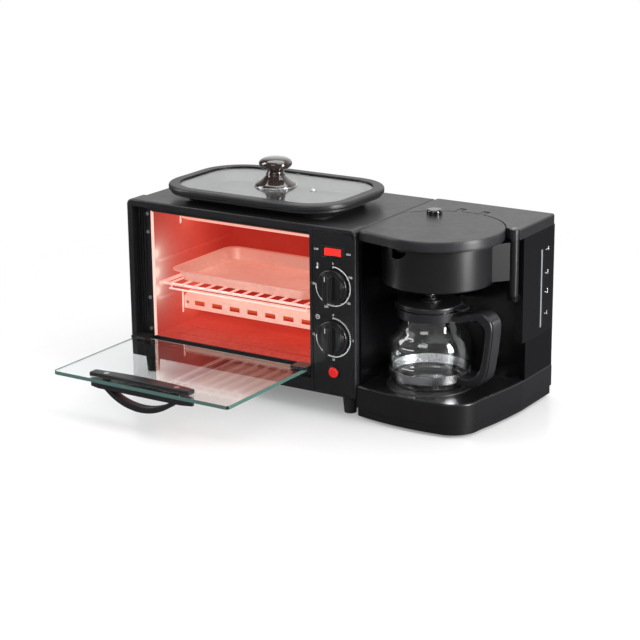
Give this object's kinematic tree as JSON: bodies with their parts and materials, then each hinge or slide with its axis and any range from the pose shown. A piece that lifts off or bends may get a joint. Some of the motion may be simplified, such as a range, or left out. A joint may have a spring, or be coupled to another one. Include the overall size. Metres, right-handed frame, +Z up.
{
  "type": "breakfast maker",
  "caption": "Three-in-one breakfast maker: toaster oven with drop-down glass door, lidded griddle on its roof, and drip coffee maker with swing-out basket and carafe",
  "frame": {"origin": "bottom centre of the bounding box with the oven door hanging open, on the surface it stands on", "axes": "+Z up, +X to the right and +Y to the back as the user faces it"},
  "size_m": [0.47, 0.347, 0.269],
  "materials": {
    "black_housing": "fine satin black moulding",
    "black_gloss": "glossy black moulding",
    "black_sheet": "satin black powder coat",
    "galvanised": "galvanised sheet",
    "clear_glass": "clear tempered glass",
    "carafe_clear": "clear blown glass",
    "steel_band": "brushed stainless",
    "rack_chrome": "bright plated wire",
    "tray_enamel": "non-stick coated sheet",
    "griddle_coat": "non-stick coating on cast aluminium",
    "hot_metal": "plain cast aluminium",
    "element": "sheathed element, glowing",
    "lamp_red": "clear red moulding",
    "switch_red": "clear red moulding, lit",
    "lid_bronze": "deep glossy moulding",
    "rubber_black": "plain rubber",
    "screw_steel": "plated steel",
    "tank_clear": "smoked moulding",
    "gauge_clear": "clear strip",
    "hose_white": "silicone hose"
  },
  "bodies": {
    "housing": {"front_bezel": "black_housing", "control_panel": "black_gloss", "rocker_housing": "black_housing", "thermostat": "screw_steel", "timer_clockwork": "screw_steel", "power_lamp": "lamp_red", "outer_cover": "black_sheet", "cavity_liner": "galvanised", "back_panel": "black_sheet", "bottom_plate": "galvanised", "feet": "rubber_black", "housing_screws": "screw_steel", "cord_grommet": "rubber_black", "heater_tubes": "element", "heater_guards": "galvanised", "hot_plate": "hot_metal", "coffee_base": "black_gloss", "base_cover": "black_housing", "warming_plate": "griddle_coat", "boiler_heater": "hot_metal", "tower_shell": "black_housing", "rear_cover": "black_housing", "side_panel": "tank_clear", "water_tank": "tank_clear", "gauge_window": "gauge_clear", "supply_hose": "hose_white", "riser_pipe": "hose_white", "shower_head": "black_housing", "tower_top": "black_housing", "hinge_pins": "screw_steel"},
    "door": {"door_glass": "clear_glass", "door_handle": "black_housing", "door_inner_strip": "black_housing", "door_handle_screws": "screw_steel", "door_hinge_clamps": "black_housing", "door_hinge_pins": "screw_steel"},
    "rack": {"wire_rack": "rack_chrome"},
    "tray": {"baking_tray": "tray_enamel"},
    "temperature_dial": {"temperature_knob": "black_housing", "thermostat_spindle": "screw_steel"},
    "timer_dial": {"timer_knob": "black_housing", "timer_spindle": "screw_steel"},
    "rocker": {"rocker_button": "switch_red"},
    "pan": {"griddle_pan": "griddle_coat"},
    "griddle_lid": {"griddle_lid_rim": "black_housing", "griddle_lid_glass": "clear_glass", "griddle_lid_knob": "lid_bronze", "lid_knob_screw": "screw_steel"},
    "brew_cover": {"brew_lid": "black_housing", "brew_lid_button": "black_gloss"},
    "basket": {"basket_holder": "black_gloss", "filter_insert": "black_housing", "drip_spring": "screw_steel"},
    "valve": {"drip_valve": "black_housing"},
    "carafe": {"carafe_glass": "carafe_clear", "carafe_band": "steel_band", "carafe_handle": "black_housing", "carafe_handle_trim": "steel_band"},
    "carafe_cap": {"carafe_lid": "black_housing"}
  },
  "joints": [
    {"name": "door_hinge", "type": "hinge", "parent": "housing", "child": "door", "pos_m": [-0.1085, -0.0115, 0.047], "axis": [1, 0, 0], "range_deg": [-90, 0]},
    {"name": "rack_slide", "type": "slide", "parent": "housing", "child": "rack", "axis": [0, -1, 0], "range_m": [0, 0.12]},
    {"name": "tray_slide", "type": "slide", "parent": "rack", "child": "tray", "axis": [0, -1, 0], "range_m": [0, 0.1]},
    {"name": "temperature_turn", "type": "hinge", "parent": "housing", "child": "temperature_dial", "pos_m": [0.053, -0.0155, 0.1508], "axis": [0, 1, 0], "range_deg": [0, 270]},
    {"name": "timer_turn", "type": "hinge", "parent": "housing", "child": "timer_dial", "pos_m": [0.053, -0.0155, 0.0913], "axis": [0, 1, 0], "range_deg": [0, 270]},
    {"name": "rocker_tilt", "type": "hinge", "parent": "housing", "child": "rocker", "pos_m": [0.053, -0.0105, 0.1905], "axis": [0, 0, 1], "range_deg": [-14, 0]},
    {"name": "pan_lift", "type": "slide", "parent": "housing", "child": "pan", "axis": [0, 0, 1], "range_m": [0, 0.08]},
    {"name": "griddle_lid_lift", "type": "slide", "parent": "pan", "child": "griddle_lid", "axis": [0, 0, 1], "range_m": [0, 0.12]},
    {"name": "brew_lid_hinge", "type": "hinge", "parent": "housing", "child": "brew_cover", "pos_m": [0.15, 0.1345, 0.215], "axis": [-1, 0, 0], "range_deg": [0, 75]},
    {"name": "basket_swing", "type": "hinge", "parent": "housing", "child": "basket", "pos_m": [0.228, 0.0815, 0.18], "axis": [0, 0, 1], "range_deg": [0, 95]},
    {"name": "drip_valve_drop", "type": "slide", "parent": "basket", "child": "valve", "axis": [0, 0, -1], "range_m": [0, 0.0025], "deforming": ["drip_spring"]},
    {"name": "carafe_slide", "type": "slide", "parent": "housing", "child": "carafe", "axis": [0, -1, 0], "range_m": [0, 0.15]},
    {"name": "carafe_cap_turn", "type": "hinge", "parent": "carafe", "child": "carafe_cap", "pos_m": [0.147, 0.0385, 0.132], "axis": [0, 0, 1], "range_deg": [0, 40]}
  ],
  "couplings": [
    {"joint": "drip_valve_drop", "follows": "carafe_slide", "ratio": 0.016666}
  ]
}
